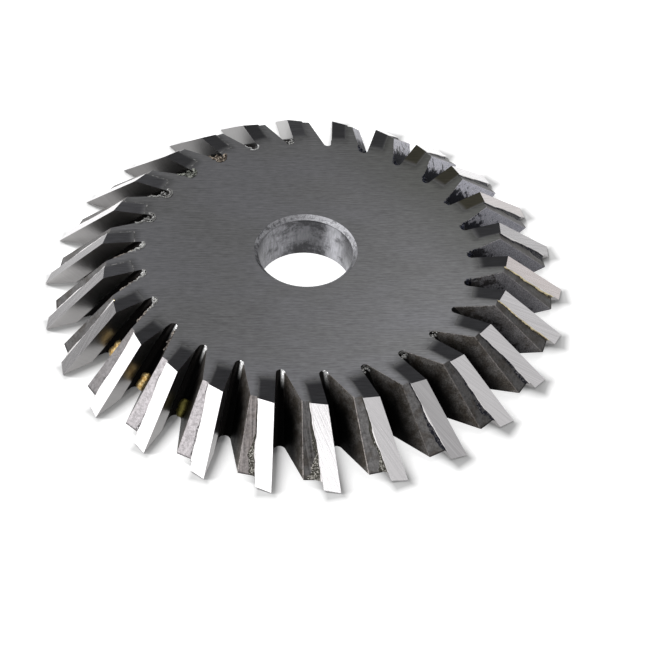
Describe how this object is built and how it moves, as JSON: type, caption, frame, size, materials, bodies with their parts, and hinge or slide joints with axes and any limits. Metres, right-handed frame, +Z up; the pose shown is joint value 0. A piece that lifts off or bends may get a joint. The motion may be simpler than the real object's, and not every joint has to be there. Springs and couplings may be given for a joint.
{
  "type": "single-angle milling cutter",
  "caption": "Conical disc milling cutter with brazed tips, deep gullets between the teeth, a flat face and a plain chamfered arbor bore.",
  "frame": {"origin": "centre of the underside, on the bore axis, where the cutter rests", "axes": "+Z up the bore axis, out of the small flat face; +X through the first tooth's upper cutting corner; the teeth follow counter-clockwise"},
  "size_m": [0.15, 0.1494, 0.015],
  "materials": {
    "body_steel": "dark brushed steel face, rough brown-grey gullets",
    "ground_tip": "finely ground, bright",
    "braze": "dull golden filler"
  },
  "bodies": {
    "root": {"cutter_body": "body_steel", "carbide_tip_01": "ground_tip", "carbide_tip_02": "ground_tip", "carbide_tip_03": "ground_tip", "carbide_tip_04": "ground_tip", "carbide_tip_05": "ground_tip", "carbide_tip_06": "ground_tip", "carbide_tip_07": "ground_tip", "carbide_tip_08": "ground_tip", "carbide_tip_09": "ground_tip", "carbide_tip_10": "ground_tip", "carbide_tip_11": "ground_tip", "carbide_tip_12": "ground_tip", "carbide_tip_13": "ground_tip", "carbide_tip_14": "ground_tip", "carbide_tip_15": "ground_tip", "carbide_tip_16": "ground_tip", "carbide_tip_17": "ground_tip", "carbide_tip_18": "ground_tip", "carbide_tip_19": "ground_tip", "carbide_tip_20": "ground_tip", "carbide_tip_21": "ground_tip", "carbide_tip_22": "ground_tip", "carbide_tip_23": "ground_tip", "carbide_tip_24": "ground_tip", "carbide_tip_25": "ground_tip", "carbide_tip_26": "ground_tip", "braze_seam_01": "braze", "braze_seam_02": "braze", "braze_seam_03": "braze", "braze_seam_04": "braze", "braze_seam_05": "braze", "braze_seam_06": "braze", "braze_seam_07": "braze", "braze_seam_08": "braze", "braze_seam_09": "braze", "braze_seam_10": "braze", "braze_seam_11": "braze", "braze_seam_12": "braze", "braze_seam_13": "braze", "braze_seam_14": "braze", "braze_seam_15": "braze", "braze_seam_16": "braze", "braze_seam_17": "braze", "braze_seam_18": "braze", "braze_seam_19": "braze", "braze_seam_20": "braze", "braze_seam_21": "braze", "braze_seam_22": "braze", "braze_seam_23": "braze", "braze_seam_24": "braze", "braze_seam_25": "braze", "braze_seam_26": "braze"}
  },
  "joints": []
}
